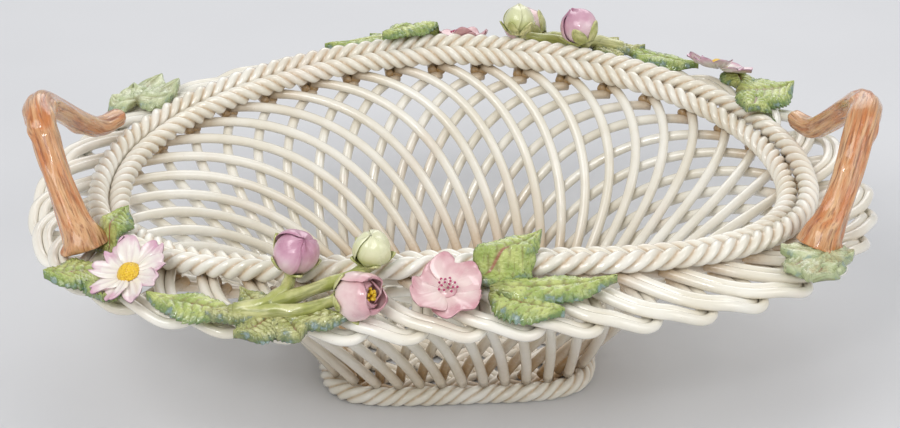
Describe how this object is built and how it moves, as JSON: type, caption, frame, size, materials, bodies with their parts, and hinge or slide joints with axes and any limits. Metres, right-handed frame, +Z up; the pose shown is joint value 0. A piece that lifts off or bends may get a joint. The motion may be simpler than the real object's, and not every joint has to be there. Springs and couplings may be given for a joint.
{
  "type": "reticulated porcelain basket",
  "caption": "Oval open-work porcelain basket of crossing strands on a roped foot, with a looped border, twin rope rim, two twig handles and applied flowers.",
  "frame": {"origin": "centre of the foot's underside, on the surface the basket stands on", "axes": "+X along the basket's length, +Y towards its back, +Z up"},
  "size_m": [0.289, 0.2264, 0.1065],
  "materials": {
    "cream_wall": "glossy cream glazed porcelain",
    "cream_rope": "glossy cream glazed porcelain",
    "bark_glaze": "glossy orange-brown glaze with darker streaks",
    "leaf_glaze": "glossy yellow-green glaze with darker edges and a light lustre",
    "white_petal": "glossy white glaze with pink tips",
    "yellow_heart": "matt-gloss yellow glaze",
    "magenta_heart": "pink and magenta dotted glaze",
    "pale_bud": "glossy pale green glaze",
    "pink_petal": "glossy pale pink glaze"
  },
  "bodies": {
    "root": {"back_daisy_heart": "yellow_heart", "back_daisy_petals": "white_petal", "back_green_bud": "pale_bud", "back_leaf_far_left": "leaf_glaze", "back_leaf_middle": "leaf_glaze", "back_leaf_on_rope": "leaf_glaze", "back_leaf_spray": "leaf_glaze", "back_pink_bud": "pink_petal", "back_rose_heart": "magenta_heart", "back_rose_petals": "pink_petal", "back_rosebud": "pink_petal", "back_sprig_leaf": "leaf_glaze", "back_sprig_stems": "leaf_glaze", "base_mat": "cream_wall", "border_back": "cream_rope", "border_back_left": "cream_rope", "border_back_right": "cream_rope", "border_front": "cream_rope", "border_front_left": "cream_rope", "border_front_right": "cream_rope", "border_left": "cream_rope", "border_right": "cream_rope", "foot_rope": "cream_rope", "front_daisy_heart": "yellow_heart", "front_daisy_petals": "white_petal", "front_green_bud": "pale_bud", "front_leaf_far_left": "leaf_glaze", "front_leaf_middle": "leaf_glaze", "front_leaf_on_rope": "leaf_glaze", "front_leaf_spray": "leaf_glaze", "front_pink_bud": "pink_petal", "front_rose_heart": "magenta_heart", "front_rose_petals": "pink_petal", "front_rosebud": "pink_petal", "front_sprig_leaf": "leaf_glaze", "front_sprig_stems": "leaf_glaze", "handle_left": "bark_glaze", "handle_right": "bark_glaze", "lattice_inner_back": "cream_wall", "lattice_inner_back_left": "cream_wall", "lattice_inner_back_right": "cream_wall", "lattice_inner_front": "cream_wall", "lattice_inner_front_left": "cream_wall", "lattice_inner_front_right": "cream_wall", "lattice_inner_left": "cream_wall", "lattice_inner_right": "cream_wall", "lattice_outer_back": "cream_wall", "lattice_outer_back_left": "cream_wall", "lattice_outer_back_right": "cream_wall", "lattice_outer_front": "cream_wall", "lattice_outer_front_left": "cream_wall", "lattice_outer_front_right": "cream_wall", "lattice_outer_left": "cream_wall", "lattice_outer_right": "cream_wall", "left_handle_leaf": "leaf_glaze", "right_handle_leaf": "leaf_glaze", "rim_rope_inner": "cream_rope", "rim_rope_outer": "cream_rope"}
  },
  "joints": []
}
